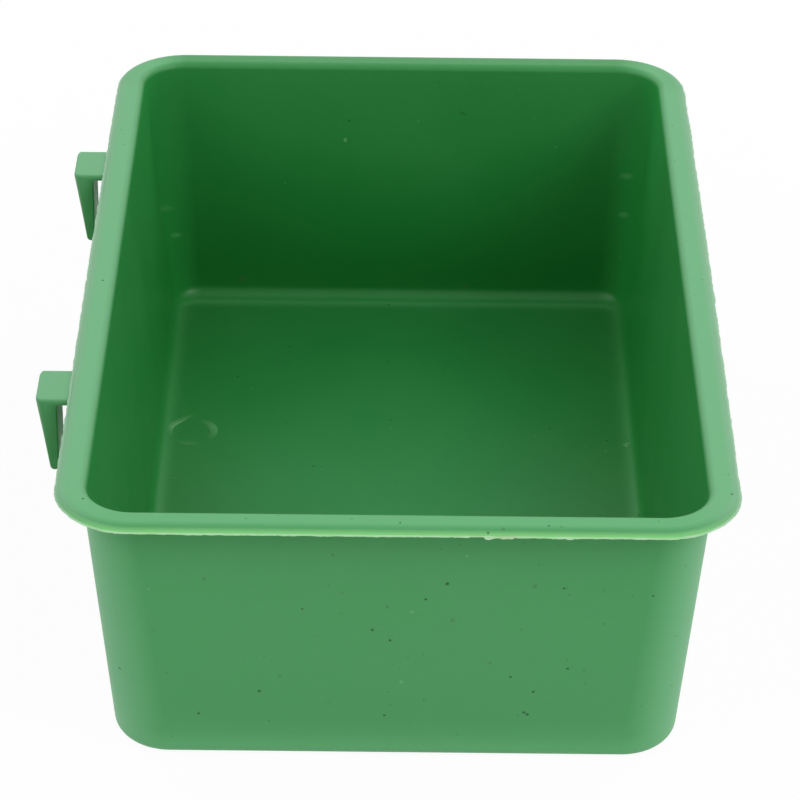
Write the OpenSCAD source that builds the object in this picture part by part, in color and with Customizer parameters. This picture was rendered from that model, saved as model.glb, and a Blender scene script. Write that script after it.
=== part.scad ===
// Cage bird bath: an open moulded tub with a flanged rim, and two hooks that
// push up into guides under the rim and hang the bath on the wires of a cage.
// Millimetres, +Z up. The origin is the centre of the underside of the tub.
// The hooks are on the -X side, and the long sides run along Y.

/* [Tub] */
// Width across the rim, along X
rim_w = 111; // [80:1:160]
// Length across the rim, along Y
rim_l = 171; // [130:1:240]
// Height from the underside to the top of the rim
tub_h = 50.8; // [35:0.1:80]
// Thickness of the walls under the rim, measured level
wall_t = 0.9; // [0.8:0.1:3]
// Thickness of the walls at the foot, measured level
wall_foot_t = 1.9; // [0.8:0.1:4]
// Thickness of the floor
floor_t = 1.2; // [0.8:0.1:4]
// Lean of the outside of the walls away from upright, in degrees
draft = 4.3; // [1:0.1:10]
// Plan radius of the corners on the inside of the walls, under the rim
corner_r = 7.8; // [5:0.1:16]
// Plan radius of the same corners at the floor
floor_corner_r = 5.6; // [5:0.1:16]
// Radius of the outer edge round the underside
base_r = 2.6; // [0.5:0.1:5]
// Radius where the inside of the walls meets the floor
floor_r = 2.6; // [0.5:0.1:4.5]

/* [Rim] */
// How far the rim stands out past the wall
rim_reach = 4.7; // [2.8:0.1:7]
// Thickness of the rim
rim_t = 1.2; // [1:0.1:2.5]
// Radius of the rim's upper outer edge
rim_outer_r = 1; // [0.3:0.1:1]
// Radius of the rim's upper inner edge
rim_inner_r = 1.2; // [0.3:0.1:1.8]

/* [Hooks] */
// Distance between the middles of the two hooks
hook_pitch = 80; // [40:1:110]
// Width of a hook along the rim
hook_w = 9.5; // [6:0.1:14]
// How far a hook stands out past the rim
hook_reach = 5.3; // [5:0.1:10]
// Thickness of the arm under the rim
arm_t = 1.3; // [1:0.1:2.5]
// Height of the prong, from the top of the arm to its tip
prong_h = 14; // [11:0.5:24]
// Thickness of the prong at the arm
prong_root_t = 3.6; // [2:0.1:4]
// Thickness of the prong at its rounded tip
prong_tip_t = 1.6; // [1:0.1:2]
// Radius of the prong's upper outer edge
hook_edge_r = 0.6; // [0.2:0.1:0.9]
// Plan radius of the hook's two outer corners
hook_corner_r = 1.4; // [0.3:0.1:1.8]

/* [Guides] */
// Width of the hook's back plate
plate_w = 12; // [9:0.1:18]
// Thickness of the back plate
plate_t = 1; // [0.8:0.1:1.5]
// Height of the back plate
plate_h = 9; // [6:0.5:14]
// Thickness of the lips that hold the back plate
lip_t = 0.9; // [0.7:0.1:1.2]
// Thickness of the rails at each side of the back plate
rail_t = 1.2; // [0.8:0.1:2]
// How far the guide's back face stands out past the top of the wall
pad_t = 0.1; // [0.05:0.05:0.5]
// Running clearance round the back plate
slide_gap = 0.07; // [0.03:0.01:0.15]
// Clearance between the hook and the underside of the rim
seat_gap = 0.05; // [0.02:0.01:0.2]

/* [Hidden] */

// Steps in each quarter turn: plan corners, then the small edge radii
corner_steps = 12;
edge_steps = 6;
// Overlap that makes two shapes of one piece run into each other
bite = 0.3;

// Width of the rim from its outer edge to the inside of the wall
flange_w = rim_reach + wall_t;
// Plan corner radii of the wall's outside, at its top and foot, and of the rim's edge
outer_corner_r = corner_r + wall_t;
foot_corner_r = corner_r + wall_foot_t;
rim_corner_r = outer_corner_r + rim_reach;
// Height of the rim's underside
under_z = tub_h - rim_t;
// Slopes of the wall's outside and inside, and the lean of the inside
slope = tan(draft);
inner_slope = slope + (wall_foot_t - wall_t) / under_z;
inner_draft = atan(inner_slope);
// The rim's outer edge keeps a narrow upright band below its radius
edge_band = 0.15;
rim_edge_r = min(rim_outer_r, rim_t - edge_band);

// Guides: distances out from the middle of the tub, towards -X
pad_x = rim_w / 2 - rim_reach + pad_t;
plate_x = pad_x + slide_gap;
lip_x = plate_x + plate_t + slide_gap;
guide_x = lip_x + lip_t;
guide_h = plate_h + seat_gap;
guide_w = plate_w + 2 * (slide_gap + rail_t);

// Hooks
arm_top_z = under_z - seat_gap;
hook_x = rim_w / 2 + hook_reach;
gap_x = hook_x - prong_root_t;
tip_r = prong_tip_t / 2;
tip_z = arm_top_z - prong_h;

plastic_green = [0.31, 0.58, 0.36];

// Distance in from the rim's edge of the wall's outside and inside, at height z
function outer_inset(z) = rim_reach + slope * (under_z - z);
function inner_inset(z) = flange_w + inner_slope * (tub_h - rim_inner_r - z);

// Distance out from the middle of the tub to the middle of the wall, at height z
function wall_middle(z) = rim_w / 2 - outer_inset(z) - wall_t / 2;

// An arc in the tub's section, as stations [inset, plan corner radius, height].
// The centre is (ci, cz), angle 0 points out of the tub and 90 points up, and
// the plan radius shrinks by as much as the arc moves in from its edge of radius r.
function section_arc(ci, cz, rad, from, to, edge_inset, r) = [
    for (k = [0:edge_steps])
        let (a = from + (to - from) * k / edge_steps, inset = ci - rad * cos(a))
            [inset, r + edge_inset - inset, cz + rad * sin(a)]
];

// Inset of the centre of a radius that touches a wall of the given lean, where wall_inset
// is the wall's own inset at the height of that centre
function fillet_centre(wall_inset, rad, lean) = wall_inset + rad / cos(lean);

// A level loop round the tub: a rectangle with round corners
function loop(s) = let (hx = rim_w / 2 - s[0] - s[1], hy = rim_l / 2 - s[0] - s[1]) [
    for (q = [0:3], k = [0:corner_steps])
        let (a = 90 * q + 90 * k / corner_steps)
            [
                (q == 0 || q == 3 ? hx : -hx) + s[1] * cos(a),
                (q < 2 ? hy : -hy) + s[1] * sin(a),
                s[2]
            ]
];

// The tub's section, from the underside up the outside, over the rim and down to the floor
function tub_section() =
    let (
        base_ci = fillet_centre(outer_inset(base_r), base_r, draft),
        floor_cz = floor_t + floor_r,
        floor_ci = fillet_centre(inner_inset(floor_cz), floor_r, inner_draft)
    )
    concat(
        section_arc(base_ci, base_r, base_r, -90, -draft,
            base_ci - base_r * cos(draft), foot_corner_r),
        [[rim_reach, outer_corner_r, under_z], [0, rim_corner_r, under_z]],
        section_arc(rim_edge_r, tub_h - rim_edge_r, rim_edge_r, 0, 90, 0, rim_corner_r),
        section_arc(flange_w - rim_inner_r, tub_h - rim_inner_r, rim_inner_r, 90, 180,
            0, rim_corner_r),
        section_arc(floor_ci, floor_cz, floor_r, -inner_draft, -90,
            floor_ci - floor_r * cos(inner_draft), floor_corner_r)
    );

// A closed skin through the loops at all the stations, with a flat face at each end
module loft(stations) {
    m = 4 * (corner_steps + 1);
    last = len(stations) - 1;
    points = [for (s = stations) each loop(s)];
    sides = [
        for (k = [0:last - 1], i = [0:m - 1])
            let (j = (i + 1) % m)
                [(k + 1) * m + i, (k + 1) * m + j, k * m + j, k * m + i]
    ];
    polyhedron(
        points = points,
        faces = concat(
            [[for (i = [0:m - 1]) i]],
            sides,
            [[for (i = [m - 1:-1:0]) last * m + i]]
        )
    );
}

// Points of an arc about c, in degrees
function arc(c, rad, from, to) = [
    for (k = [0:edge_steps])
        let (a = from + (to - from) * k / edge_steps)
            c + rad * [cos(a), sin(a)]
];

// A side view, drawn as distance out towards -X and height, given a width w along Y about y
module across(w, y) {
    translate([0, y - w / 2, 0])
        rotate([90, 0, 180])
            linear_extrude(w)
                children();
}

// Box between two distances out towards -X, centred on y
module out_box(x0, x1, w, z0, z1, y) {
    translate([-x1, y - w / 2, z0])
        cube([x1 - x0, w, z1 - z0]);
}

// Two rails with lips that face each other, closed above by the rim. The block is
// rooted in the middle of the leaning wall, and its slot takes the back plate.
module hook_guide(y) {
    low_z = under_z - guide_h;
    difference() {
        across(guide_w, y)
            polygon([
                [wall_middle(low_z), low_z],
                [guide_x, low_z],
                [guide_x, under_z + bite],
                [wall_middle(under_z), under_z + bite]
            ]);
        out_box(pad_x, lip_x, plate_w + 2 * slide_gap, low_z - bite, under_z, y);
        out_box(lip_x - bite, guide_x + bite, hook_w + 2 * slide_gap, low_z - bite, under_z, y);
    }
}

module tub() {
    color(plastic_green)
        union() {
            loft(tub_section());
            for (side = [-1, 1])
                hook_guide(side * hook_pitch / 2);
        }
}

// Arm and prong seen along the rim. The prong's inner face is upright, and its outer
// face is the straight line that touches the round tip and the round upper edge.
module hook_profile() {
    tip_c = [gap_x + tip_r, tip_z + tip_r];
    edge_c = [hook_x - hook_edge_r, arm_top_z - hook_edge_r];
    run = edge_c - tip_c;
    lean = atan2(run[1], run[0]) - acos((tip_r - hook_edge_r) / norm(run));
    polygon(concat(
        [[plate_x, arm_top_z], [plate_x, arm_top_z - arm_t], [gap_x, arm_top_z - arm_t]],
        arc(tip_c, tip_r, 180, 360 + lean),
        arc(edge_c, hook_edge_r, lean, 90)
    ));
}

// The hook seen from above, with its two outer corners rounded
module hook_plan() {
    corner_x = hook_corner_r - hook_x;
    corner_y = hook_w / 2 - hook_corner_r;
    polygon(concat(
        [[-plate_x, -hook_w / 2], [-plate_x, hook_w / 2]],
        arc([corner_x, corner_y], hook_corner_r, 90, 180),
        arc([corner_x, -corner_y], hook_corner_r, 180, 270)
    ));
}

// One clip: arm, prong, and the wider back plate that the guide holds
module hook(y) {
    union() {
        intersection() {
            across(hook_w, y)
                hook_profile();
            translate([0, y, tip_z - bite])
                linear_extrude(prong_h + 2 * bite)
                    hook_plan();
        }
        out_box(plate_x, plate_x + plate_t, plate_w, arm_top_z - plate_h, arm_top_z, y);
    }
}

module front_hook() {
    color(plastic_green) hook(-hook_pitch / 2);
}

module rear_hook() {
    color(plastic_green) hook(hook_pitch / 2);
}

tub();
front_hook();
rear_hook();
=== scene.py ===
# %% [markdown]
# # A cage bird bath
# This bath hangs inside a bird cage. It is a shallow tub, moulded in one shot of green
# polypropylene with a flange round its mouth, and two hooks that push up into guides
# under the flange and go over a cage wire. The CAD model settles everything solid about
# it, so the lesson starts by loading that model as a fixed frame and noting its box.

import bpy
import numpy as np
from mathutils import Matrix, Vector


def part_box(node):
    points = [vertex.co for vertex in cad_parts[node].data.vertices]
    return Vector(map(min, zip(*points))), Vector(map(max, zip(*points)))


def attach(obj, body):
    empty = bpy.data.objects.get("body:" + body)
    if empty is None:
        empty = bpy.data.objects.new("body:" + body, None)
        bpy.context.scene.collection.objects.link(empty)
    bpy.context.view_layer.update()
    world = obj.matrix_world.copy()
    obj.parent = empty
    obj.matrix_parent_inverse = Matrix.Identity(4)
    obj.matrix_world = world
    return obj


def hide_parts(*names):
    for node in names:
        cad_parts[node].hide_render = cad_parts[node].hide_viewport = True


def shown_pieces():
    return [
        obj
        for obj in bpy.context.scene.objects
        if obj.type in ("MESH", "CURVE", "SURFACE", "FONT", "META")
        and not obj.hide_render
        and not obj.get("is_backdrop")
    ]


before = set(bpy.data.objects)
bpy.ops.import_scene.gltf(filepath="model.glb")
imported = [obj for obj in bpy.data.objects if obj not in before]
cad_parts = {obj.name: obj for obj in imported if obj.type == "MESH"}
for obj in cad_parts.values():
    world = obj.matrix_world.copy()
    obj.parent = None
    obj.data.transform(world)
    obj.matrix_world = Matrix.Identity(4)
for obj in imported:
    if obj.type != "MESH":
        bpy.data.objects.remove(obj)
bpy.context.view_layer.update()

MM = 0.001

# %% [markdown]
# ## The viewer's place
# The portrait looks down into the tub from in front, at about 31 degrees, through a long
# lens. A camera can be aimed with a Track To constraint, or built from three unit vectors:
# the way it looks, its right and its up. The vectors are used here, because they take the
# small roll of a hand-held camera as easily as the pitch. The turns are in radians, and the
# focal length is in pixels of the picture.

# %% Camera
FRAME_PX = 800
FOCAL_PX = 3623.3
SENSOR_MM = 36.0
EYE = np.array([-0.634, -561.17, 366.1]) * MM
YAW, PITCH, ROLL = -0.00169, 0.54905, 0.01136

looks = np.array([-np.sin(YAW) * np.cos(PITCH), np.cos(YAW) * np.cos(PITCH), -np.sin(PITCH)])
level = np.array([np.cos(YAW), np.sin(YAW), 0.0])
plumb = np.cross(level, looks)
right = np.cos(ROLL) * level + np.sin(ROLL) * plumb
up = np.cos(ROLL) * plumb - np.sin(ROLL) * level

lens = bpy.data.cameras.new("portrait_camera")
lens.sensor_width = SENSOR_MM
lens.lens = FOCAL_PX / FRAME_PX * SENSOR_MM
camera = bpy.data.objects.new("portrait_camera", lens)
placed = np.eye(4)
placed[:3] = np.column_stack([right, up, -looks, EYE])
camera.matrix_world = Matrix(placed.tolist())
bpy.context.scene.collection.objects.link(camera)
bpy.context.scene.camera = camera
print("Lens in mm:", round(lens.lens, 1), "looking down by", round(np.degrees(PITCH), 1))

# %% [markdown]
# ## Skins from grids of points
# Moulded plastic has no loose sheets: every piece is a closed skin. Each one here is a grid
# of points, where a row goes once round the piece and the rows follow each other along it.
# Blender's extrude and loft operators could make the same skins, but a numpy array holds the
# whole shape at once, so a formula can bend, round or fray all of it in a single line.

# %% Grid to skin
def skin(grid, ring=False):
    """Points and faces of a closed skin. A quad joins each point to the next in its row and
    to the two above them. A ring closes on its own first row, and any other skin gets one
    flat lid at each end. Rows run anticlockwise as seen from the last row's side."""
    rows, columns = grid.shape[:2]
    here = np.arange(rows * columns).reshape(rows, columns)
    beside = np.roll(here, -1, axis=1)
    quads = np.stack([here, beside, np.roll(beside, -1, axis=0), np.roll(here, -1, axis=0)], -1)
    if ring:
        return grid.reshape(-1, 3), quads.reshape(-1, 4).tolist()
    lids = [here[0, ::-1].tolist(), here[-1].tolist()]
    return grid.reshape(-1, 3), quads[:-1].reshape(-1, 4).tolist() + lids


# %% [markdown]
# A closed skin can be weighed on paper: each triangle and the origin make a small pyramid, and
# the pyramids' volumes, some of them negative, add up to the volume inside. The sum comes out
# positive only when the faces point outwards, so printing it also proves which way they look.

# %% Skin to object
CREASE = np.radians(38)


def volume(mesh):
    """Volume inside a closed mesh: a sixth of the sum of a . (b x c) over its triangles."""
    mesh.calc_loop_triangles()
    corners = np.empty(3 * len(mesh.loop_triangles), np.int32)
    mesh.loop_triangles.foreach_get("vertices", corners)
    points = np.empty(3 * len(mesh.vertices), np.float32)
    mesh.vertices.foreach_get("co", points)
    a, b, c = points.astype(float).reshape(-1, 3)[corners.reshape(-1, 3)].transpose(1, 0, 2) / MM
    return np.einsum("ij,ij->", a, np.cross(b, c)) / 6


def moulding(name, points, faces, body, slot):
    """A mesh object from points in millimetres, smooth but for edges sharper than the
    crease angle, riding on a CAD body. The slot argument is not used."""
    mesh = bpy.data.meshes.new(name)
    mesh.from_pydata((points * MM).tolist(), [], faces)
    mesh.shade_smooth()
    mesh.set_sharp_from_angle(angle=CREASE)
    piece = bpy.data.objects.new(name, mesh)
    bpy.context.scene.collection.objects.link(piece)
    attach(piece, body)
    print(name, "has", len(mesh.polygons), "faces round", round(volume(mesh), 2), "cubic mm")
    return piece


# %% [markdown]
# ## The tub's section
# Cut the tub with a saw and the same section shows everywhere: a flat floor, a small radius,
# a wall that leans out by 4 degrees so that it leaves its mould, and a flange with a bull-nosed
# outer edge. So the section is drawn once, as stations of reach, plan corner and height. Reach
# is measured out from the flange's nose, so inside the tub it is negative. The CAD model's
# flange is a little wider than the nose: that is the room for the mould's flash.

# %% Sizes of the tub
FLASH_W = 0.6
tub_low, tub_high = (np.array(corner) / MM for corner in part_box("tub"))
RIM_HALF = (tub_high - tub_low)[:2] / 2 - FLASH_W
TUB_H = tub_high[2]
RIM_REACH, RIM_T, FLOOR = 4.1, 1.2, 1.2
UNDER_Z = TUB_H - RIM_T
WALL_TOP, WALL_FOOT = 0.9, 1.9
DRAFT = 4.3
SLOPE_OUT = np.tan(np.radians(DRAFT))
SLOPE_IN = SLOPE_OUT + (WALL_FOOT - WALL_TOP) / UNDER_Z
LEAN_OUT, LEAN_IN = np.degrees(np.arctan([SLOPE_OUT, SLOPE_IN]))
INNER_CORNER, FLOOR_CORNER = 7.8, 5.6
OUTER_CORNER = INNER_CORNER + WALL_TOP
FOOT_CORNER = INNER_CORNER + WALL_FOOT
RIM_CORNER = OUTER_CORNER + RIM_REACH
print("Half widths at the nose:", RIM_HALF, "and height:", TUB_H)


# %% Wall lines and section arcs
def outside(z):
    """Reach of the wall's outside: it draws in by the slope below the flange."""
    return -RIM_REACH - SLOPE_OUT * (UNDER_Z - z)


def inside(z):
    """Reach of the wall's inside: the wall grows thicker towards its foot."""
    return -RIM_REACH - WALL_TOP - SLOPE_IN * (UNDER_Z - z)


def stations(reach, z, datum):
    """Columns of reach, plan corner and height. The plan corner is the datum's own where the
    reach is the datum's, and shrinks as fast as the reach draws in."""
    reach, z = np.broadcast_arrays(np.asarray(reach, float), np.asarray(z, float))
    return np.column_stack([reach, datum[1] + reach - datum[0], z])


def bend(centre, radii, start, end, datum, steps=8):
    """Stations on an ellipse: its centre plus radius times cosine across and sine up,
    between two angles in degrees, where 0 points out of the tub and 90 points up."""
    angle = np.radians(np.linspace(start, end, steps + 1))
    return stations(centre[0] + radii[0] * np.cos(angle), centre[1] + radii[1] * np.sin(angle), datum)


def upright(line, low, high, corners, steps):
    """Stations up or down a leaning wall, from one height and plan corner to another."""
    z = np.linspace(low, high, steps + 1)
    return np.column_stack([line(z), np.linspace(*corners, steps + 1), z])


# %% Section of the tub
BASE_R = FLOOR_R = 2.6
NOSE = (1.7, 1.05)
MOUTH_R = 1.3
CROOK_R = 0.25
ARRIS_R = 0.12
# Rows beside a radius, which let the shading settle on the flat that follows it
SETTLE = np.array([0.6, 1.2, 2.0, 2.7])
TOP_SETTLE = (0.4, 0.3)

off_out, off_in = 1 / np.cos(np.radians([LEAN_OUT, LEAN_IN]))
base_c = (outside(BASE_R) - BASE_R * off_out, BASE_R)
crook_c = (outside(UNDER_Z - CROOK_R) + CROOK_R * off_out, UNDER_Z - CROOK_R)
mouth_c = (inside(TUB_H - MOUTH_R) + MOUTH_R * off_in, TUB_H - MOUTH_R)
floor_c = (inside(FLOOR + FLOOR_R) - FLOOR_R * off_in, FLOOR + FLOOR_R)
base_edge = (base_c[0] + BASE_R / off_out, base_c[1] - BASE_R * SLOPE_OUT / off_out)
floor_edge = (floor_c[0] + FLOOR_R / off_in, floor_c[1] - FLOOR_R * SLOPE_IN / off_in)
rim_datum = (0.0, RIM_CORNER)
base_datum = (base_edge[0], FOOT_CORNER)
floor_datum = (floor_edge[0], FLOOR_CORNER)

outer = np.concatenate([
    stations(base_c[0] - SETTLE[::-1], 0.0, base_datum),
    bend(base_c, (BASE_R, BASE_R), -90, -LEAN_OUT, base_datum),
    upright(outside, base_edge[1], crook_c[1], (FOOT_CORNER, OUTER_CORNER), 16)[1:-1],
    bend(crook_c, (CROOK_R, CROOK_R), 180 - LEAN_OUT, 90, rim_datum, 4),
    stations([-RIM_REACH / 2, -2 * ARRIS_R], UNDER_Z, rim_datum),
    bend((-ARRIS_R, UNDER_Z + ARRIS_R), (ARRIS_R, ARRIS_R), -90, 0, rim_datum, 4),
    bend((-NOSE[0], TUB_H - NOSE[1]), NOSE, 0, 90, rim_datum, 14),
    stations([-NOSE[0] - TOP_SETTLE[0], mouth_c[0] + TOP_SETTLE[1]], TUB_H, rim_datum),
])
mouth = bend(mouth_c, (MOUTH_R, MOUTH_R), 90, 180 - LEAN_IN, rim_datum, 10)
inner = np.concatenate([
    upright(inside, mouth_c[1], floor_edge[1], (INNER_CORNER, FLOOR_CORNER), 16)[1:-1],
    bend(floor_c, (FLOOR_R, FLOOR_R), -LEAN_IN, -90, floor_datum, 10),
    stations(floor_c[0] - SETTLE, FLOOR, floor_datum),
])
section = np.concatenate([outer, mouth, inner])
print("The section has", len(section), "stations")


# %% [markdown]
# ## The tub
# Seen from above, every level of the tub is a rectangle with round corners. Such a loop is a
# weighted sum of three numbers only: its straight half sides in x and y, and its corner
# radius. The weights are worked out once, and multiplying them by the stations gives the whole
# tub as one grid. A Screw modifier can't do this, because the path isn't a circle.

# %% Plan weights
def plan_weights(corner_steps, short_steps, long_steps):
    """Weights of a round-cornered rectangle, anticlockwise from the end of its +x side: x is
    the first weight times the half side plus the second times the corner radius, and y is the
    third and fourth likewise. Corners sweep a quarter turn of cosine and sine, and sides run
    straight from one corner's sign to the next."""
    signs = np.array([[1, 1], [-1, 1], [-1, -1], [1, -1]], float)
    runs = []
    for quarter, sign in enumerate(signs):
        turn = np.pi / 2 * (quarter + np.linspace(0, 1, corner_steps + 1))
        along = np.linspace(0, 1, (short_steps if quarter % 2 == 0 else long_steps) + 1)[1:-1]
        side = sign + np.outer(along, signs[(quarter + 1) % 4] - sign)
        still, end = np.ones_like(turn), np.ones_like(along)
        runs.append([still * sign[0], np.cos(turn), still * sign[1], np.sin(turn)])
        runs.append([side[:, 0], end * np.cos(turn[-1]), side[:, 1], end * np.sin(turn[-1])])
    return np.concatenate(runs, axis=1)


def loops(rows, weights):
    """A grid of points: one round-cornered rectangle per station, at its height."""
    reach, corner, z = (column[:, None] for column in rows.T)
    ax, bx, ay, by = weights
    x = ax * (RIM_HALF[0] + reach - corner) + bx * corner
    y = ay * (RIM_HALF[1] + reach - corner) + by * corner
    return np.stack([x, y, np.broadcast_to(z, x.shape)], -1)


# %% Tub shell
weights = plan_weights(corner_steps=20, short_steps=24, long_steps=40)
tub_grid = loops(section, weights)
tub = moulding("tub_shell", *skin(tub_grid), "tub", "tub_plastic")
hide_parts("tub")


# %% [markdown]
# Polypropylene lets a little light through where it is thin. The flange's nose therefore glows
# towards its lower edge as painted light, though only faintly along the long sides.
# Real subsurface scattering is slow and hardly shows at this size, so each point of the shell
# keeps one number that says how much it glows, and the material turns that number into a paler,
# yellower green.

# %% Thin edge of the flange
def put_numbers(piece, name, values):
    """Keeps one number per point of a piece, for its material to read."""
    layer = piece.data.attributes.new(name, "FLOAT", "POINT")
    layer.data.foreach_set("value", np.asarray(values, np.float32).ravel())


NEAR = 0.01
GLOW_DOWN, GLOW_CURVE = 0.3, 0.6
SIDE_DULL = 0.85

reach, _, height = section.T
glow_top = TUB_H - GLOW_DOWN
on_nose = np.where(height >= UNDER_Z - NEAR, np.clip(1 + reach / NOSE[0], 0, 1), 0)
to_side = weights[1] ** 2
glow = on_nose * np.clip((glow_top - height) / (glow_top - UNDER_Z), 0, 1) ** GLOW_CURVE
put_numbers(tub, "thin_edge", glow[:, None] * (1 - SIDE_DULL * to_side))
print("Stations on the thin edge:", int((glow > 0).sum()))

# %% [markdown]
# Wear is kept the same way, with painted light and shade mixed into it. Hands and shelves turn
# the whole outside and the flange hazy. The upright corners and the rounded foot are palest,
# partly from wear, as they touch something first, and partly as painted light: a painted sheen
# on the corners and painted light thrown up from the paper at the foot. The flange's nose is less
# pale, and along the flange's rear edge and on the strip of wall under the flange the green is
# kept darker as painted shade. The long sides also carry a pale painted sheen. Wear could be
# painted with a brush, but it follows the shape of the tub, so it is a formula of the section and
# of the plan.

# %% Haze outside
# Wear outside, less of it on the nose; the rear flange's lower share is painted shade
HANDLED, NOSE_WORN, REAR_SHADED = 0.54, 0.42, 0.45
FOOT_H = 3.5
# Painted shadow under the flange: how much wear it holds back, and how fast that fades down the wall
FLANGE_SHADOW, FLANGE_SHADOW_H = 0.4, 7.0
# Painted sheen on the long sides: its share on the wall and on the flat of the flange
SHEEN_WALL, SHEEN_FLAT = 0.5, 0.36
REAR_Y, REAR_FADE = 70, 10

handled = np.concatenate([np.ones(len(outer)), np.linspace(1, 0, len(mouth)), np.zeros(len(inner))])
# Foot and upright corners: paler from wear, and also painted light from the paper at the foot and a
# painted sheen on the corners
at_foot = np.exp(-((height - BASE_R / 2) / FOOT_H) ** 2)
at_corner = np.abs(2 * weights[1] * weights[3])
# Painted shade: the straight rear flange keeps less wear, so it stays darker
rear_shade = np.clip((tub_grid[:, :, 1] - REAR_Y) / REAR_FADE, 0, 1) * (1 - at_corner)
# Painted shadow: the strip of wall just under the flange keeps less wear, so it is darker
flange_shadow = FLANGE_SHADOW * np.exp(-np.abs(UNDER_Z - height) / FLANGE_SHADOW_H)
on_wall = HANDLED + (1 - HANDLED) * np.maximum(at_foot[:, None], at_corner)
on_wall = on_wall * (1 - flange_shadow)[:, None]
on_flange = (1 - (1 - NOSE_WORN) * on_nose)[:, None] * (1 - (1 - REAR_SHADED) * rear_shade)
wear_and_painted_light = handled[:, None] * np.where((height < UNDER_Z)[:, None], on_wall, on_flange)
# Painted sheen on the long sides, on the wall and across the flange
across = np.where(height < UNDER_Z, SHEEN_WALL, SHEEN_FLAT + (1 - SHEEN_FLAT) * on_nose)
put_numbers(tub, "side_sheen", (handled * across)[:, None] * to_side)
print("Haze outside goes from", wear_and_painted_light[:len(outer)].min().round(2), "to", wear_and_painted_light.max().round(2))

# %% [markdown]
# Inside, the plastic stays fresh and only water marks it, with painted light and shade laid over
# it. Splashes leave an even thin coat on the floor, and the walls grow paler towards the top as
# painted light. The rear part of the side walls carries painted light, more on the right, and the
# rear wall a painted shade low down. At the edge of the floor a faint pale line is limescale
# together with a painted highlight. A noise texture could hint at such marks, but numbers on the
# points put each one exactly where the surface turns.

# %% Painted light, limescale and a painted highlight inside
# Painted light on the inner walls, paler towards the top, and an even coat on the floor
WALL_FILM_LIGHT, FLOOR_FILM = 0.10, 0.07
LIGHT_FADE_LOW, LIGHT_FADE_HIGH = 8, 40
# Pale line at the floor's edge, limescale with a painted highlight: its spread up and in, and its place
# at the sides and rear
LINE_UP, LINE_IN = 0.8, 1.4
LINE_SIDE, LINE_REAR = -0.8, 0.2
LINE_THIN = 0.5

# Painted light: the inner walls grow paler towards the top
film_and_painted_light = WALL_FILM_LIGHT * np.clip((height - LIGHT_FADE_LOW) / (LIGHT_FADE_HIGH - LIGHT_FADE_LOW), 0, 1)
film_and_painted_light = (1 - handled) * np.where(height < FLOOR + NEAR, FLOOR_FILM, film_and_painted_light)
put_numbers(tub, "wear_and_painted_light", wear_and_painted_light + film_and_painted_light[:, None])

# Pale line at the floor's edge: limescale plus a painted highlight
to_rear = np.clip(weights[3], 0, 1)
past = (floor_c[0] - reach)[:, None] - (LINE_SIDE + (LINE_REAR - LINE_SIDE) * to_rear)
lime_and_highlight = np.exp(-(past / np.where(past > 0, LINE_IN, LINE_UP)) ** 2)
lime_and_highlight *= LINE_THIN + (1 - LINE_THIN) * to_rear
lime_and_highlight *= ((1 - handled) * (height < FLOOR + FLOOR_R))[:, None]
put_numbers(tub, "lime_and_highlight", lime_and_highlight)
print("Film and lime at their strongest:", film_and_painted_light.max().round(2), lime_and_highlight.max().round(2))

# %% Painted light on the side walls and painted shade low on the rear wall
# Painted light on the rear of the side walls, weaker on the left
SIDE_LIGHT_Y, SIDE_LIGHT_FADE, SIDE_LIGHT_LEFT = 40, 25, 0.5
# Painted shade on the rear wall, between these heights
SHADE_LOW, SHADE_HIGH = 8, 34

above = (1 - handled) * np.clip((height - FLOOR) / FLOOR_R, 0, 1)
# Painted light on the rear part of the side walls, stronger on the right
side_wall_light = above[:, None] * to_side * np.clip((tub_grid[:, :, 1] - SIDE_LIGHT_Y) / SIDE_LIGHT_FADE, 0, 1)
put_numbers(tub, "side_wall_light", side_wall_light * np.where(tub_grid[:, :, 0] > 0, 1, SIDE_LIGHT_LEFT))
# Painted shade: the rear wall darker low down
low_rear_shade = above * np.clip((SHADE_HIGH - height) / (SHADE_HIGH - SHADE_LOW), 0, 1)
put_numbers(tub, "low_rear_shade", low_rear_shade[:, None] * to_rear ** 2)
print("Splashes and deep green at their strongest:", side_wall_light.max().round(2), low_rear_shade.max().round(2))

# %% [markdown]
# ## Flash along the flange
# Where the two halves of a worn mould meet, molten plastic creeps out and leaves a ragged fin,
# about as thin as paper. On this bath it stands out level from the flange's lower edge, widest
# in the middle of the long sides, where the mould springs open most. On the front one stretch is
# torn away, the next is bent down, and so is a shorter one further along. Bump in a material
# can't change an outline, so the fin is a real blade: a thin wedge carried along the flange,
# whose width is a saw-tooth of random heights.

# %% Distance along the edge
SPARE_TEETH = 40

edge_weights = plan_weights(corner_steps=90, short_steps=420, long_steps=640)
edge = loops(np.array([[0.0, RIM_CORNER, UNDER_Z]]), edge_weights)[0]
walked = np.concatenate([[0], np.cumsum(np.linalg.norm(np.diff(edge, axis=0), axis=1))])


def teeth(low, high, seed):
    """A saw-tooth along the edge: random heights from 0 to 1, between low and high apart,
    joined by straight lines."""
    draw = np.random.default_rng(seed)
    count = int(2 * walked[-1] / (low + high)) + SPARE_TEETH
    knots = np.cumsum(draw.uniform(low, high, count))
    return np.interp(walked, knots, draw.uniform(0, 1, count))


print("The flange's edge is", round(walked[-1], 1), "mm long")

# %% Torn and bent stretches
LIP_DEPTH = 1.0
TORN, TORN_LEFT = (11.4, 13.8), 0.5
BENT = {(13.8, 18.3): 0.30, (24.3, 27.8): 0.14}


def on_lip(low, high):
    """True on the flange's front edge between two places in x."""
    return (edge[:, 1] < LIP_DEPTH - RIM_HALF[1]) & (edge[:, 0] > low) & (edge[:, 0] < high)


torn = on_lip(*TORN)
bent = sum(depth * on_lip(*stretch) for stretch, depth in BENT.items())
print("Points on the torn and the bent stretches:", torn.sum(), np.count_nonzero(bent))

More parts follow.
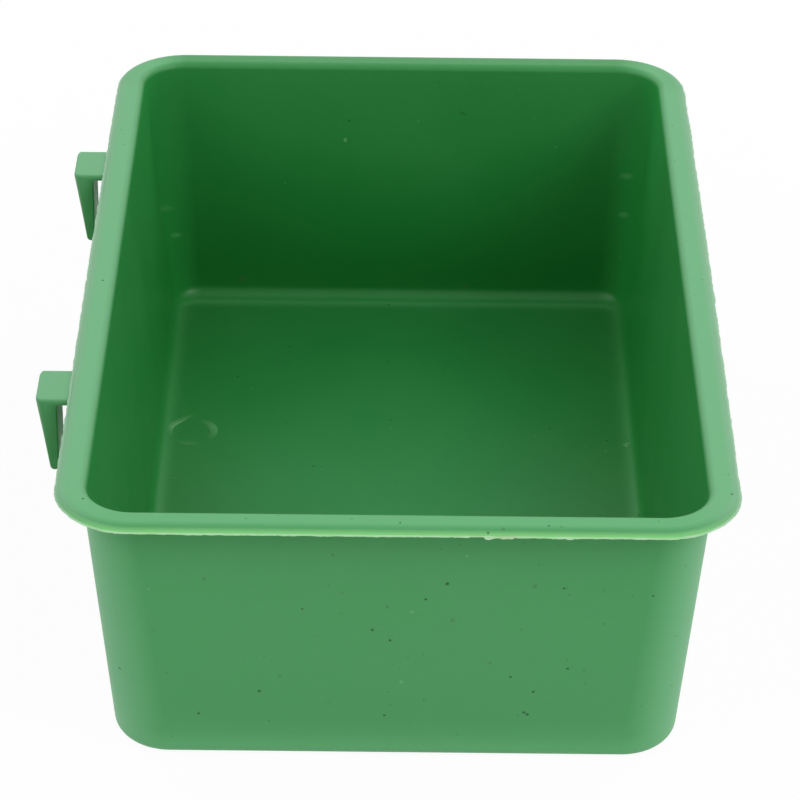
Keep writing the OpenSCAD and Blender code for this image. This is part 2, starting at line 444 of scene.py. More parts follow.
# %% Width of the flash
FLASH_LEAST, FLASH_ALL, FLASH_FRONT, FLASH_SPRUNG = 0.02, 0.10, 0.12, 0.20
SPRUNG_Y, FRONT_Y, FRONT_FADE = 75, 70, 12
# Teeth have a closest and a widest spacing, and a seed
WIDTH_TEETH = {(4, 11, 1): 0.10, (0.5, 1.6, 2): 0.14, (0.25, 0.6, 3): 0.12}
BENT_TEETH, DROOP_TEETH = (0.3, 0.9, 5), (0.4, 1.0, 4)

sprung = np.clip(1 - (edge[:, 1] / SPRUNG_Y) ** 2, 0, 1)
to_front = np.clip((-edge[:, 1] - FRONT_Y) / FRONT_FADE, 0, 1)
flash_w = FLASH_ALL + FLASH_FRONT * to_front + FLASH_SPRUNG * sprung
flash_w += sum(size * teeth(*spacing) for spacing, size in WIDTH_TEETH.items())
flash_w = np.where(torn, TORN_LEFT * flash_w, flash_w + bent * teeth(*BENT_TEETH))
flash_w = np.clip(flash_w, FLASH_LEAST, FLASH_W)
droop = bent * teeth(*DROOP_TEETH)
print("Flash in mm, narrowest and widest:", flash_w.min().round(2), flash_w.max().round(2))

# %% Rim flash
FLASH_ROOT, FLASH_T = -0.3, 0.14
# Heights above the flange's underside: root, lower and upper tip, nose, root again
BLADE_Z = np.array([0.005, 0.02, 0.05, FLASH_T, FLASH_T])

blade = loops(np.array([[0.0, RIM_CORNER, z] for z in UNDER_Z + BLADE_Z]), edge_weights)
outward = np.column_stack([edge_weights[1], edge_weights[3]])
root, nose = np.full_like(walked, FLASH_ROOT), np.zeros_like(walked)
out = np.stack([root, flash_w, flash_w, nose, root])
blade[:, :, :2] += out[:, :, None] * outward
blade[1:3, :, 2] -= droop
flash = moulding("rim_flash", *skin(blade, ring=True), "tub", "tub_plastic")
# The flash takes the same side mask as the flange's painted sheen
put_numbers(flash, "side_sheen", np.broadcast_to(edge_weights[1] ** 2, blade.shape[:2]))

# %% [markdown]
# ## Ejector marks
# Pins push the warm tub out of its mould and leave a witness on the floor near each long side.
# A witness is a low bead round the pin, rubbed pale where it stands highest and lost in the
# floor elsewhere. It could be a bump in the material, but a bead of real height also casts a
# real edge: half an ellipse carried round a circle, with a height that comes and goes.

# %% Ejector rings
PIN_R, PIN_STEPS = 4.3, 120
BEAD_W, BEAD_STEPS = 0.8, 10
BEAD_ROOT, BURIED = 0.15, 0.03
NIB_AT, NIB_SPREAD = 92, 18
# For each pin: its middle, the bead's height, its lobes of angle, spread and share, and its nib
PINS = {
    "left": ((-39.3, 23.2), 0.15, [(150, 50, 1.0), (15, 40, 0.8), (265, 40, 0.35)], 1.2),
    "right": ((39.1, 21.2), 0.05, [(115, 45, 0.4), (330, 25, 0.3)], 0.2),
}


def bell(turn, at, spread):
    """A bell curve on a circle: e to the minus square of the angle from its middle, taken the
    short way round, over its spread. Angles are in degrees."""
    return np.exp(-(((turn - at + 180) % 360 - 180) / spread) ** 2)


def ejector_ring(centre, rise, lobes, nib):
    """A bead round a circle. Its height at an angle is its rise times a sum of bell curves, one
    for each lobe, and its radius grows by the nib on one narrow bell."""
    turn = np.linspace(0, 360, PIN_STEPS, endpoint=False)
    rub = np.clip(sum(share * bell(turn, at, spread) for at, spread, share in lobes), 0, 1)
    round_bead = np.radians(np.linspace(0, 360, BEAD_STEPS, endpoint=False))[:, None]
    radius = PIN_R + nib * bell(turn, NIB_AT, NIB_SPREAD) + BEAD_W * np.cos(round_bead)
    lift = np.where(np.sin(round_bead) > 0, rise * rub, BEAD_ROOT)
    top = FLOOR - BURIED + lift * np.sin(round_bead)
    x = centre[0] + radius * np.cos(np.radians(turn))
    y = centre[1] + radius * np.sin(np.radians(turn))
    return np.stack(np.broadcast_arrays(x, y, top), -1), np.broadcast_to(rub, top.shape)


beads = []
for side, pin in PINS.items():
    grid, rub = ejector_ring(*pin)
    beads.append(moulding("ejector_ring_" + side, *skin(grid, ring=True), "tub", "tub_plastic"))
    put_numbers(beads[-1], "rub", rub)

# %% [markdown]
# ## Guides under the flange
# Each hook is held by a C-shaped channel under the flange: a pad on the wall, two rails, and two
# lips that face each other across the slot. A channel is one plan drawn with rounded corners
# and carried straight up, except that its back follows the leaning wall. A cube with Boolean
# cuts would do, but its edges would stay knife-sharp. The CAD model gives the clip's box, and
# so the plate's place, the arm's top and the prong's tip.

# %% Clip and guide sizes
hook_low, hook_high = (np.array(corner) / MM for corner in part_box("front_hook"))
HOOK_X, PLATE_X = -hook_low[0], -hook_high[0]
TIP_Z, ARM_TOP = hook_low[2], hook_high[2]
HOOK_Y = -(hook_low[1] + hook_high[1]) / 2
PLATE_W = hook_high[1] - hook_low[1]
HOOK_W, PLATE_T, PLATE_H = 9.5, 1.0, 9.0
SLIDE_GAP, LIP_T, RAIL_T = 0.07, 0.9, 1.2

PAD_X = PLATE_X - SLIDE_GAP
LIP_X = PLATE_X + PLATE_T + SLIDE_GAP
GUIDE_X = LIP_X + LIP_T
SLOT_Y = PLATE_W / 2 + SLIDE_GAP
MOUTH_Y = HOOK_W / 2 + SLIDE_GAP
GUIDE_Y = SLOT_Y + RAIL_T
GUIDE_Z = ARM_TOP - PLATE_H
print("Hooks reach", HOOK_X.round(2), "mm out, at", HOOK_Y.round(2), "mm from the middle")


# %% Rounded outlines
def arc(centre, radius, start, end, steps=8):
    """Points of a circle between two angles in degrees: cosine across and sine up."""
    angle = np.radians(np.linspace(start, end, steps + 1))
    return np.asarray(centre) + radius * np.column_stack([np.cos(angle), np.sin(angle)])


def rounded(corners, radii, steps=4):
    """A closed outline with each corner cut back to an arc. The arc touches both sides at the
    radius over the tangent of the corner's half angle, and bulges to the corner's side."""
    corners, radii = np.asarray(corners, float), np.asarray(radii, float)[:, None]
    back = np.roll(corners, 1, axis=0) - corners
    ahead = np.roll(corners, -1, axis=0) - corners
    back /= np.linalg.norm(back, axis=1, keepdims=True)
    ahead /= np.linalg.norm(ahead, axis=1, keepdims=True)
    half = np.arccos(np.clip((back * ahead).sum(1, keepdims=True), -1, 1)) / 2
    middle = (back + ahead) / np.linalg.norm(back + ahead, axis=1, keepdims=True)
    centre = corners + middle * radii / np.sin(half)
    spokes = np.stack([corners + back * radii / np.tan(half) - centre,
                       corners + ahead * radii / np.tan(half) - centre], 1)
    share = np.linspace(0, 1, steps + 1)[None, :, None]
    mixed = spokes[:, :1] * (1 - share) + spokes[:, 1:] * share
    mixed *= radii[:, :, None] / np.linalg.norm(mixed, axis=2, keepdims=True)
    return (centre[:, None] + mixed).reshape(-1, 2)


def inward(outline):
    """Unit normals into an anticlockwise outline: the direction from the point before to the
    point after, turned left."""
    run = np.roll(outline, -1, axis=0) - np.roll(outline, 1, axis=0)
    left = np.column_stack([-run[:, 1], run[:, 0]])
    return left / np.linalg.norm(left, axis=1, keepdims=True)


# %% Guides
SOFT, CRISP = 0.25, 0.08
ROOTED = 0.55
FOOT_STEPS, RAIL_STEPS = 4, 6


def guide(centre_y):
    """The channel's plan, carried up from its foot. The foot's edge is a quarter round, and
    the two back corners slide out by the wall's slope as the height grows."""
    half = np.array([[PAD_X - ROOTED, GUIDE_Y], [GUIDE_X, GUIDE_Y], [GUIDE_X, MOUTH_Y],
                     [LIP_X, MOUTH_Y], [LIP_X, SLOT_Y], [PAD_X, SLOT_Y]])
    radii = [CRISP, SOFT, SOFT, CRISP, CRISP, CRISP]
    outline = rounded(np.concatenate([half * [1, -1], half[::-1]]), radii + radii[::-1])
    turn = np.linspace(0, np.pi / 2, FOOT_STEPS + 1)
    draw_in = np.concatenate([SOFT / 2 * (1 - np.sin(turn)), np.zeros(RAIL_STEPS)])
    z = np.concatenate([GUIDE_Z + SOFT * (1 - np.cos(turn)),
                        np.linspace(GUIDE_Z + SOFT, UNDER_Z + SOFT, RAIL_STEPS + 1)[1:]])
    flat = outline + draw_in[:, None, None] * inward(outline)
    at_back = outline[:, 0] < PAD_X - ROOTED / 2
    out = flat[:, :, 0] + np.where(at_back, SLOPE_OUT * (z[:, None] - UNDER_Z), 0.0)
    return np.stack([-out, centre_y - flat[:, :, 1], np.broadcast_to(z[:, None], out.shape)], -1)


guides = [moulding(name, *skin(guide(y)), "tub", "tub_plastic")
          for name, y in (("front_guide", -HOOK_Y), ("rear_guide", HOOK_Y))]
for channel in guides:
    # The guides take the outside's wear and the wall's painted side sheen
    put_numbers(channel, "wear_and_painted_light", np.full(len(channel.data.vertices), HANDLED))
    put_numbers(channel, "side_sheen", np.full(len(channel.data.vertices), SHEEN_WALL))

# %% [markdown]
# ## Hooks
# A hook is a clip of the same plastic: a plate that slides up into its guide, an arm that comes
# out under the flange, and a prong that tapers down in front of the cage wire. Its side view is
# one outline, so it is carried along the flange, and the outline is drawn in by a quarter round
# at both ends so that the cut faces have soft edges. The two outer corners are then trimmed
# to their plan radius by holding back every point that reaches too far.

# %% Carry a side view along the flange
END_STEPS, SPAN_STEPS = 5, 23


def slab(outline, width, centre_y, edge, corner_r):
    """An outline of reach and height carried across its width. Near each end it draws in by a
    quarter round, and no point reaches past the plan corner's circle."""
    turn = np.linspace(0, np.pi / 2, END_STEPS + 1)
    end = np.column_stack([edge * (1 - np.cos(turn)) - width / 2, edge * (1 - np.sin(turn))])
    span = np.linspace(edge - width / 2, width / 2 - edge, SPAN_STEPS + 1)[1:-1]
    middle = np.column_stack([span, np.zeros_like(span)])
    across, draw_in = np.concatenate([end, middle, end[::-1] * [-1, 1]]).T
    drawn = outline + draw_in[:, None, None] * inward(outline)
    past = np.clip(np.abs(across) - (width / 2 - corner_r), 0, corner_r)
    limit = outline[:, 0].max() - corner_r + np.sqrt(corner_r**2 - past**2)
    out = np.minimum(drawn[:, :, 0], limit[:, None])
    return np.stack([-out, np.broadcast_to(centre_y + across[:, None], out.shape), drawn[:, :, 1]], -1)


# %% Hook outlines
ARM_T, PRONG_ROOT = 1.3, 3.6
TIP_R, HOOK_EDGE_R, CROTCH_R = 0.8, 0.6, 0.35
PLATE_SOFT, PLATE_CORNER = 0.2, 0.3
GAP_X = HOOK_X - PRONG_ROOT
ARM_UNDER = ARM_TOP - ARM_T


def prong_outline():
    """The side view of arm and prong, anticlockwise from the arm's root: under the arm, down
    the prong's upright inner face, round its tip, up the straight line that touches the round
    tip and the round upper edge, and back along the top."""
    root = PLATE_X + PLATE_T / 2
    tip_c = np.array([GAP_X + TIP_R, TIP_Z + TIP_R])
    edge_c = np.array([HOOK_X, ARM_TOP]) - HOOK_EDGE_R
    run = edge_c - tip_c
    lean = np.degrees(np.arctan2(run[1], run[0]) - np.arccos((TIP_R - HOOK_EDGE_R) / np.hypot(*run)))
    return np.concatenate([
        [[root, ARM_TOP], [root, ARM_UNDER]],
        arc((GAP_X - CROTCH_R, ARM_UNDER - CROTCH_R), CROTCH_R, 90, 0, 4),
        arc(tip_c, TIP_R, 180, 360 + lean, 12),
        arc(edge_c, HOOK_EDGE_R, lean, 90),
    ])


def plate_outline():
    """The side view of the back plate: an upright oblong with small radii."""
    low, far = ARM_TOP - PLATE_H, PLATE_X + PLATE_T
    corners = [[PLATE_X, low], [far, low], [far, ARM_TOP], [PLATE_X, ARM_TOP]]
    return rounded(corners, [PLATE_SOFT] * len(corners))


# %% Hooks
HOOK_SOFT, HOOK_CORNER = 0.3, 1.4
# Depth of the hook's pale top: wear and painted light from above
TOP_LIGHT_AND_WEAR = 0.8

hook_pieces = []
for body, y in (("front_hook", -HOOK_Y), ("rear_hook", HOOK_Y)):
    prong = slab(prong_outline(), HOOK_W, y, HOOK_SOFT, HOOK_CORNER)
    plate = slab(plate_outline(), PLATE_W, y, PLATE_SOFT, PLATE_CORNER)
    clip = moulding(body + "_prong", *skin(prong), body, "hook_plastic")
    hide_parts(body)
    # The hook's top is paler from wear and from painted light from above
    put_numbers(clip, "wear_and_painted_light", np.clip(1 - (ARM_TOP - prong[:, :, 2]) / TOP_LIGHT_AND_WEAR, 0, 1))
    hook_pieces += [clip, moulding(body + "_plate", *skin(plate), body, "hook_plastic")]

# %% [markdown]
# ## Shader maths in plain sums
# Nodes are easier to read as sums. A small class holds one socket, and adding or multiplying
# two of them makes the Math node that does it. Colours go through Mix nodes, which keep
# their three channels apart, and any other node comes from one method.

# %% Wires
class Wire:
    """One output socket of a node tree, with arithmetic that adds Math nodes."""

    def __init__(self, tree, socket=None):
        self.tree, self.socket = tree, socket

    def node(self, kind, settings=(), sockets=(), out=0):
        """Adds a node: first its settings, then a value or a wire for each of its sockets."""
        made = self.tree.nodes.new("ShaderNode" + kind)
        for name, value in dict(settings).items():
            setattr(made, name, value)
        for key, value in dict(sockets).items():
            if isinstance(value, Wire):
                self.tree.links.new(value.socket, made.inputs[key])
            else:
                made.inputs[key].default_value = value
        return Wire(self.tree, made.outputs[out] if made.outputs else None)

    def other(self, name):
        """Another output of the node that this wire comes from."""
        return Wire(self.tree, self.socket.node.outputs[name])

    def axis(self, name):
        """One coordinate of a place."""
        return self.node("SeparateXYZ", (), {"Vector": self}, out=name)

    def maths(self, operation, first, second):
        """A Math node on two values, either of which may be a plain number."""
        return self.node("Math", {"operation": operation}, {0: first, 1: second})

    def __add__(self, other):
        return self.maths("ADD", self, other)

    def __sub__(self, other):
        return self.maths("SUBTRACT", self, other)

    def __rsub__(self, other):
        return self.maths("SUBTRACT", other, self)

    def __mul__(self, other):
        return self.maths("MULTIPLY", self, other)

    def __pow__(self, other):
        return self.maths("POWER", self, other)

    __radd__, __rmul__ = __add__, __mul__

    def larger(self, other):
        """The larger of two values."""
        return self.maths("MAXIMUM", self, other)

    def step(self, low, high):
        """0 below low, 1 above high, and a smooth S between them."""
        return self.node("MapRange", {"interpolation_type": "SMOOTHSTEP"},
                         {"Value": self, "From Min": low, "From Max": high})

    def colours(self, first, second):
        """The first colour where this wire is 0, and the second where it is 1."""
        return self.node("Mix", {"data_type": "RGBA"}, {0: self, 6: first, 7: second}, out=2)


def new_material(name):
    """An empty material and a wire that adds nodes to it."""
    material = bpy.data.materials.new(name)
    material.use_nodes = True
    material.node_tree.nodes.clear()
    return material, Wire(material.node_tree)


def seen(wire):
    """1 for rays that carry a picture: from the camera, off gloss or through glass."""
    path = wire.node("LightPath", out="Is Camera Ray")
    return path.larger(path.other("Is Glossy Ray")).larger(path.other("Is Transmission Ray"))


# %% [markdown]
# ## Paper floor and soft light
# The bath stands on pale paper in a light tent, which is brightest at the foot of its walls. Paper
# and tent are white to the camera and to reflections, and the paper still takes the bath's shadow.
# Four soft lamps stand round the tent, one off each corner of the bath. A lamp at this height
# reaches the floor of a deep tub but leaves its far wall darker, and lays a soft shadow under the
# flange. A single strong lamp would be simpler, but its shadows would have hard edges.

# %% Floor
WHITE, PAPER = (1, 1, 1, 1), (0.7, 0.7, 0.7, 1)
PAPER_HALF, PAPER_Z = 3.0, -0.0002
PAPER_GLOW, PAPER_WHITE = 0.9, 1.05

material, wire = new_material("paper_floor")
matt = wire.node("BsdfDiffuse", (), {"Color": PAPER})
bright = wire.node("Emission", (), {"Color": WHITE, "Strength": PAPER_WHITE})
wire.node("OutputMaterial", (), {
    "Surface": wire.node("MixShader", (), {0: seen(wire) * PAPER_GLOW, 1: matt, 2: bright})})

floor_mesh = bpy.data.meshes.new("paper_floor")
corners = np.array([[-1, -1], [1, -1], [1, 1], [-1, 1]]) * PAPER_HALF
floor_mesh.from_pydata(np.column_stack([corners, np.full(4, PAPER_Z)]).tolist(), [], [(0, 1, 2, 3)])
floor_mesh.materials.append(material)
floor = bpy.data.objects.new("paper_floor", floor_mesh)
bpy.context.scene.collection.objects.link(floor)
floor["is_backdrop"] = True
print("Paper is", 2 * PAPER_HALF, "m square")

# %% Tent
ROOF, WALLS, WALL_FADE = 0.33, 0.40, 3

world = bpy.data.worlds.new("light_tent")
world.use_nodes = True
world.node_tree.nodes.clear()
bpy.context.scene.world = world
sky = Wire(world.node_tree)
upness = sky.node("TexCoord", out="Generated").axis("Z")
tent = ROOF + WALLS * (1 - upness.larger(0.0)) ** WALL_FADE
light = sky.node("Background", (), {"Color": WHITE, "Strength": tent + seen(sky) * (1 - tent)})
sky.node("OutputWorld", (), {"Surface": light})
print("Tent strength overhead and at the foot of its walls:", ROOF, ROOF + WALLS)


# %% Lamps
LAMP_AWAY, LAMP_SIZE, LAMP_LIFT = 1.3, 0.6, 38
# Turn from the front in degrees, and watts
LAMPS = {
    "lamp_front_right": (50, 3.9),
    "lamp_rear_right": (135, 2.35),
    "lamp_rear_left": (225, 2.15),
    "lamp_front_left": (302, 2.2),
}


def soft_lamp(name, turn, watts):
    """A square area lamp on a sphere round the bath: turned from the front towards +x by an
    angle in degrees and lifted, with its -Z towards the bath and its x axis level."""
    data = bpy.data.lights.new(name, "AREA")
    data.size, data.energy = LAMP_SIZE, watts
    lamp = bpy.data.objects.new(name, data)
    turn, lift = np.radians([turn, LAMP_LIFT])
    back = np.array([np.sin(turn) * np.cos(lift), -np.cos(turn) * np.cos(lift), np.sin(lift)])
    side = np.array([np.cos(turn), np.sin(turn), 0.0])
    aimed = np.eye(4)
    aimed[:3] = np.column_stack([side, np.cross(back, side), back, LAMP_AWAY * back])
    lamp.matrix_world = Matrix(aimed.tolist())
    bpy.context.scene.collection.objects.link(lamp)
    print(name, "gives", watts, "W")


for name, (turn, watts) in LAMPS.items():
    soft_lamp(name, turn, watts)
bpy.context.scene.view_settings.view_transform = "Standard"

# %% [markdown]
# ## Green polypropylene
# The bath is dyed right through, so wear never uncovers another colour: the fresh green only
# turns paler and chalkier. Recycled stock in the mix shows as specks, a few of them dark enough
# to count. A painted image could carry all this, but it would need an unwrapped mesh and would
# blur close up. Noise on Object coordinates stays sharp and is sized in real millimetres.

# %% Places and noise
def in_millimetres(wire):
    """The piece's own Object coordinates, scaled from metres to millimetres."""
    place = wire.node("TexCoord", out="Object")
    return place.node("VectorMath", {"operation": "SCALE"}, {0: place, "Scale": 1 / MM})


def noise(place, size, detail=2.0):
    """Soft random values from 0 to 1, with blotches about as wide as the size in mm."""
    return place.node("TexNoise", (), {"Vector": place, "Scale": 1 / size, "Detail": detail})


def stored(wire, name):
    """The number that the piece's points keep under this name."""
    return wire.node("Attribute", {"attribute_name": name}, out="Fac")


# %% [markdown]
# Specks come in two kinds. The many are scattered: space is cut into a foam of cells, each with
# a point and a random colour of its own, and a speck is the ball round the point of a chosen
# share of the cells. The few that the eye would miss are placed one by one, as balls round
# known points. Either way a speck is a ball in space, so the surface cuts it in a round dot.

# %% Specks, spots and streaks
DOT_CORE, CHANCE_STEP = 0.5, 0.02
STREAK_CORE, STREAK_DEPTH = 0.3, 2.0


def joined(wires):
    """The largest of several values."""
    total = wires[0]
    for wire in wires[1:]:
        total = total.larger(wire)
    return total


def specks(place, cell, radius, share):
    """Scattered dots: 1 in the core round a cell's point, falling to 0 at the radius, in the
    share of the cells whose random red is high. Sizes are in mm."""
    gap = place.node("TexVoronoi", (), {"Vector": place, "Scale": 1 / cell})
    chance = gap.node("SeparateColor", (), {"Color": gap.other("Color")})
    dots = 1 - gap.step(DOT_CORE * radius / cell, radius / cell)
    return dots * chance.step(1 - CHANCE_STEP - share, 1 - share)


def spots(place, fray, placed):
    """Dots one by one: 1 near each point, falling to 0 at its radius, where the distance is
    first shifted by the fray so that the dots come out ragged. The dots join by maximum."""
    dots = []
    for x, y, z, radius in placed:
        gap = place.node("VectorMath", {"operation": "DISTANCE"}, {0: place, 1: (x, y, z)}, out="Value")
        dots.append(1 - (gap + fray * radius).step(DOT_CORE * radius, radius))
    return joined(dots)


def streaks(place, fray, drawn):
    """Streaks between pairs of points. Seen in a streak's own axes, moved to its middle, turned
    along it and divided by its half length, its depth and its half width, it is a ball of
    radius 1. The depth lets a straight streak follow the curve of a corner."""
    marks = []
    for start, end, width in drawn:
        start, end = np.array(start), np.array(end)
        length = np.linalg.norm(end - start)
        dx, dy, dz = (end - start) / length
        own = place.node("Mapping", {"vector_type": "TEXTURE"}, {
            "Vector": place, "Location": (start + end) / 2,
            "Rotation": (0, -np.arcsin(dz), np.arctan2(dy, dx)),
            "Scale": (length / 2, STREAK_DEPTH, width / 2)})
        gap = own.node("VectorMath", {"operation": "LENGTH"}, {0: own}, out="Value")
        marks.append(1 - (gap + fray).step(STREAK_CORE, 1.0))
    return joined(marks)


# %% [markdown]
# The shader itself is plain: one Principled BSDF, where the colour, the roughness and a bump of
# faint orange peel vary. Every finish of the bath goes through it, so that all pieces share the
# same skin: a mould leaves a satin face with ripples a fraction of a millimetre across. The
# colours are laid over each other one by one, as coats of thin paint would be. A colour ramp
# could hold them too, but a list of coats shows how strong each one is and where it lies.

# %% Moulded skin
PEEL_SIZE, PEEL_DEPTH, PEEL_STRENGTH = 0.7, 0.02, 0.5
WAVE_SIZE, WAVE_SHARE = 4 * PEEL_SIZE, 0.5
SATIN, GLOSS, PLASTIC_IOR = 0.33, 0.33, 1.49
DRIFT_SIZE, ROUGH_DRIFT, ROUGH_WEAR = 9, 0.08, 0.12


def coated(shade, coats):
    """A colour with coats over it, in turn: each has a strength, a mask of where it lies and a
    colour, and the mix is the strength times the mask."""
    for strength, mask, colour in coats:
        shade = (strength * mask).colours(shade, colour)
    return shade


def moulded(wire, place, shade, worn):
    """Ends a material: satin roughness that drifts with noise and rises with wear, and ripples
    of orange peel as a bump."""
    rough = SATIN + ROUGH_DRIFT * noise(place, DRIFT_SIZE) + ROUGH_WEAR * worn
    peel = noise(place, PEEL_SIZE, detail=1.0) + WAVE_SHARE * noise(place, WAVE_SIZE, detail=1.0)
    ripples = wire.node("Bump", (), {
        "Strength": PEEL_STRENGTH, "Distance": PEEL_DEPTH * MM, "Height": peel})
    surface = wire.node("BsdfPrincipled", (), {
        "Base Color": shade, "Roughness": rough, "Normal": ripples,
        "IOR": PLASTIC_IOR, "Specular IOR Level": GLOSS})
    wire.node("OutputMaterial", (), {"Surface": surface})
    print("This finish has", len(wire.tree.nodes), "nodes")


# %% Tub greens
FRESH = (0.014, 0.258, 0.041, 1)
WORN = (0.158, 0.555, 0.228, 1)
# Pale green for limescale and a painted highlight
LIME_AND_HIGHLIGHT = (0.105, 0.440, 0.150, 1)
# Painted sheen on the floor's middle, and painted shade on the rear wall low down
FLOOR_SHEEN_GREEN, SHADE_GREEN = (0.060, 0.600, 0.200, 1), (0.009, 0.190, 0.028, 1)
# Painted light on the rear of the side walls
SIDE_LIGHT_GREEN = (0.030, 0.400, 0.075, 1)
CHALK = (0.180, 0.520, 0.220, 1)
GLOW = (0.370, 0.950, 0.340, 1)
# Painted sheen on the long sides and on the hook tops
PAINTED_SHEEN = (0.600, 0.900, 0.720, 1)
GRIT, BROWN = (0.010, 0.065, 0.018, 1), (0.075, 0.150, 0.050, 1)
print("Fresh and worn green:", FRESH[:3], WORN[:3])

# %% [markdown]
# ## Finish of the tub
# The dark green inside is the plastic as it left the mould, with a painted sheen along the middle
# of the floor. The worn green outside follows the stored wear and painted light, the long sides
# carry a painted sheen, the thin edge glows, and clouds a few centimetres wide keep any face from
# being one flat colour. Then come the marks of use: dark and brown specks, most of them on the
# front, pale nicks on the flange, and pale scuffs in the rear corners where a cleaning brush
# turns. Noise alone could scatter all of them, but the plainest ones are listed by place, because
# the eye knows them.

# %% Marks placed one by one
# On the front wall a mark has x, height and radius, and elsewhere x, y, height and radius
DARK_FRONT = [(8.1, 37.1, 0.42), (26.9, 36.4, 0.3), (22.6, 14.7, 0.32), (21.2, 10.2, 0.34),
              (21.8, 9.8, 0.34), (-22.4, 14.2, 0.36), (-3.9, 27.4, 0.32), (-1, 25.3, 0.3),
              (43, 27.9, 0.28), (41.3, 35, 0.28)]
BROWN_FRONT = [(9.1, 29.6, 0.5), (-19, 17.5, 0.42), (-10.2, 42.7, 0.42), (-1.5, 32.2, 0.4),
               (-31, 37.6, 0.4), (22.2, 36.8, 0.6), (15.4, 20.7, 0.36), (33.6, 29.1, 0.34),
               (-43.4, 22.6, 0.45)]
PALE_FRONT = [(11.2, 42.8, 0.35), (-39.9, 35.4, 0.3), (2.5, 31.2, 0.45), (0.9, 16.5, 0.45)]
OTHER_STAINS = [(-31.7, 75.7, 5, 1.1), (13.5, 75.4, 3.6, 0.6), (-23.3, 49, 1.2, 0.5),
                (16.7, -84.2, 50.6, 0.4)]
RIM_SPECKS = [(0.4, -83, 50.8, 0.25), (23.9, -83.4, 50.8, 0.25), (53.6, -73.6, 50.8, 0.3)]
NICKS = [(-4.8, -82.3, 50.8, 0.35), (14.2, -82.5, 50.8, 0.3), (-11, 78.5, 35, 0.5),
         (-48.1, -4.9, 31, 0.4), (43.4, 19.8, 1.2, 0.9)]
# A streak has its two ends and its width
SCUFFS = [((-47.6, 69, 23.9), (-44.5, 76, 20.6), 1.7), ((-46.1, 73, 15.9), (-43.6, 76, 14.6), 1.4),
          ((43, 77.6, 27.9), (46.7, 75.2, 29.4), 1.8), ((43.2, 76.6, 19.8), (46, 74.6, 20.9), 1.6)]
SCRATCH = [((11.3, 79.1, 41.4), (13.1, 79, 40.4), 0.35)]


def on_front(listed):
    """Points of x, height and radius, put on the outside of the front wall at that height."""
    x, z, radius = np.array(listed).T
    return np.column_stack([x, -RIM_HALF[1] - outside(z), z, radius]).tolist()


print("Specks placed by hand:", len(DARK_FRONT + BROWN_FRONT + PALE_FRONT + OTHER_STAINS + RIM_SPECKS))

# %% Chalk and a painted floor sheen on the tub
CLOUD_SIZE, GRAIN_SIZE = 25, 1.3
PATCHES = (0.3, 0.7)
CLOUD_CHALK, GRAIN_CHALK, WORN_CHALK = 0.06, 0.015, 0.06
# Where the painted sheen on the floor's middle lies
UNWORN, SHEEN_Z = (0.1, 0.2), (1.5, 2.5)
SHEEN_X, SHEEN_Y, SHEEN_LOST = (15, 42), (-10, 40), 0.6

tub_green, wire = new_material("tub_green")
place = in_millimetres(wire)
x, y, z = (place.axis(name) for name in "XYZ")
wear_and_painted_light = stored(wire, "wear_and_painted_light")
clouds = noise(place, CLOUD_SIZE, detail=3.0).step(*PATCHES)
grain = noise(place, GRAIN_SIZE, detail=3.0).step(*PATCHES)
chalk = CLOUD_CHALK * clouds + (GRAIN_CHALK + WORN_CHALK * wear_and_painted_light) * grain
# Painted sheen on the middle of the floor, strongest at the front
middle = 1 - (x * x).step(SHEEN_X[0] ** 2, SHEEN_X[1] ** 2)
painted_floor_sheen = (1 - wear_and_painted_light.step(*UNWORN)) * (1 - z.step(*SHEEN_Z)) * middle * (1 - SHEEN_LOST * y.step(*SHEEN_Y))

# %% Specks, stains and scuffs on the tub
FRAY_SIZE, SCUFF_FRAY, SCUFF_STRENGTH = 0.4, 0.6, 0.5

fray = noise(place, FRAY_SIZE) - 0.5
scuffs = joined([
    SCUFF_STRENGTH * streaks(place, SCUFF_FRAY * fray, SCUFFS),
    spots(place, fray, NICKS + on_front(PALE_FRONT)),
    specks(place, cell=4.5, radius=0.22, share=0.3),
])
stains = joined([
    spots(place, fray, on_front(BROWN_FRONT) + OTHER_STAINS),
    specks(place, cell=2.6, radius=0.3, share=0.5),
])
grit = joined([
    spots(place, fray, on_front(DARK_FRONT) + RIM_SPECKS),
    streaks(place, fray, SCRATCH),
    specks(place, cell=5.0, radius=0.3, share=0.5),
])

# %% Tub finish
# The stored numbers hold wear together with painted light and painted shade
shade = coated(wear_and_painted_light.colours(FRESH, WORN), [
    (1.0, chalk, CHALK),
    # Painted sheen on the long sides
    (0.26, stored(wire, "side_sheen"), PAINTED_SHEEN),
    # Limescale with a painted highlight
    (0.8, stored(wire, "lime_and_highlight"), LIME_AND_HIGHLIGHT),
    # Painted sheen on the floor's middle
    (0.22, painted_floor_sheen, FLOOR_SHEEN_GREEN),
    # Painted shade low on the rear wall
    (0.8, stored(wire, "low_rear_shade"), SHADE_GREEN),
    # Painted light on the rear of the side walls
    (0.6, stored(wire, "side_wall_light"), SIDE_LIGHT_GREEN),
    # Painted glow of light through the thin nose
    (1.0, stored(wire, "thin_edge"), GLOW),
    (0.7, scuffs, CHALK),
    (0.35, stains, BROWN),
    (0.8, grit, GRIT),
])
moulded(wire, place, shade, wear_and_painted_light)

# %% [markdown]
# ## Finishes of the small pieces
# The flash is so thin that light comes straight through it, so it is nearly cream, greyer along
# the sides, with a brown tint where the torn stretch has picked up dirt. The ejector beads are
# the tub's own green, rubbed chalky where they stand highest. The hooks come from a mould of
# their own and a slightly darker batch, with fewer specks; their darker green is also painted
# shade on their faces. Their tops are as pale as the tub, from wear and from painted light and a
# painted sheen. One finish could serve all of them with more stored numbers, but three short
# ones are easier to follow.

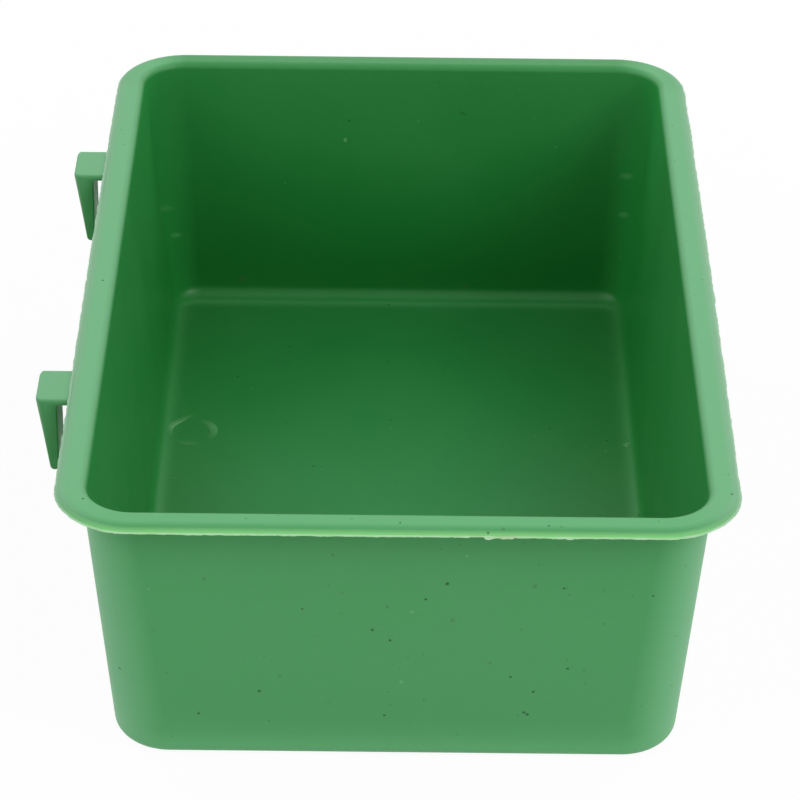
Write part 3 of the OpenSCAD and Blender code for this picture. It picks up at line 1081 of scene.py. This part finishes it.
# %% Flash finish
CREAM, TAN = (0.66, 0.97, 0.65, 1), (0.56, 0.68, 0.38, 1)
SIDE_PALE = (0.400, 0.700, 0.480, 1)
UNEVEN_SIZE, UNEVEN_PATCHES = 2.5, (0.35, 0.65)
FLASH_STAINS, STAIN_FRAY = [(17.3, -85, 49.6, 2.2), (12.3, -85, 49.6, 1.2)], 0.6

flash_cream, wire = new_material("flash_cream")
place = in_millimetres(wire)
uneven = noise(place, UNEVEN_SIZE, detail=3.0).step(*UNEVEN_PATCHES)
stained = spots(place, noise(place, STAIN_FRAY) - 0.5, FLASH_STAINS)
shade = coated(CREAM, [
    (0.45, uneven, GLOW),
    # Along the sides the flash turns greyer, like the flange's painted sheen beside it
    (0.8, stored(wire, "side_sheen"), SIDE_PALE),
    (0.4, stained, TAN),
])
moulded(wire, place, shade, uneven)

# %% Bead finish
RUB_SIZE, RUB_LEAST = 1.2, 0.6

bead_green, wire = new_material("bead_green")
place = in_millimetres(wire)
rub = stored(wire, "rub") * (RUB_LEAST + (1 - RUB_LEAST) * noise(place, RUB_SIZE))
moulded(wire, place, rub.colours(FRESH, CHALK), rub)

# %% Hook finish
# The darker green is the hooks' own batch and also painted shade on their faces
HOOK_GREEN, HOOK_WORN = (0.034, 0.277, 0.066, 1), (0.074, 0.335, 0.110, 1)
HOOK_CLOUD_SIZE = 8

hook_green, wire = new_material("hook_green")
place = in_millimetres(wire)
clouds = noise(place, HOOK_CLOUD_SIZE, detail=3.0).step(*PATCHES)
wear_and_painted_light = stored(wire, "wear_and_painted_light")
shade = coated(clouds.colours(HOOK_GREEN, HOOK_WORN), [
    # Paler top from wear and painted light; the next coat is a painted sheen
    (0.8, wear_and_painted_light, WORN),
    (0.12, wear_and_painted_light, PAINTED_SHEEN),
    (0.6, specks(place, cell=2.2, radius=0.16, share=0.6), GRIT),
])
moulded(wire, place, shade, clouds)

# %% Give every piece its finish
finishes = {"rim_flash": flash_cream}
finishes.update({bead.name: bead_green for bead in beads})
finishes.update({piece.name: hook_green for piece in hook_pieces})
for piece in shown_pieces():
    piece.data.materials.clear()
    piece.data.materials.append(finishes.get(piece.name, tub_green))
    print(piece.name, "wears", piece.data.materials[0].name)
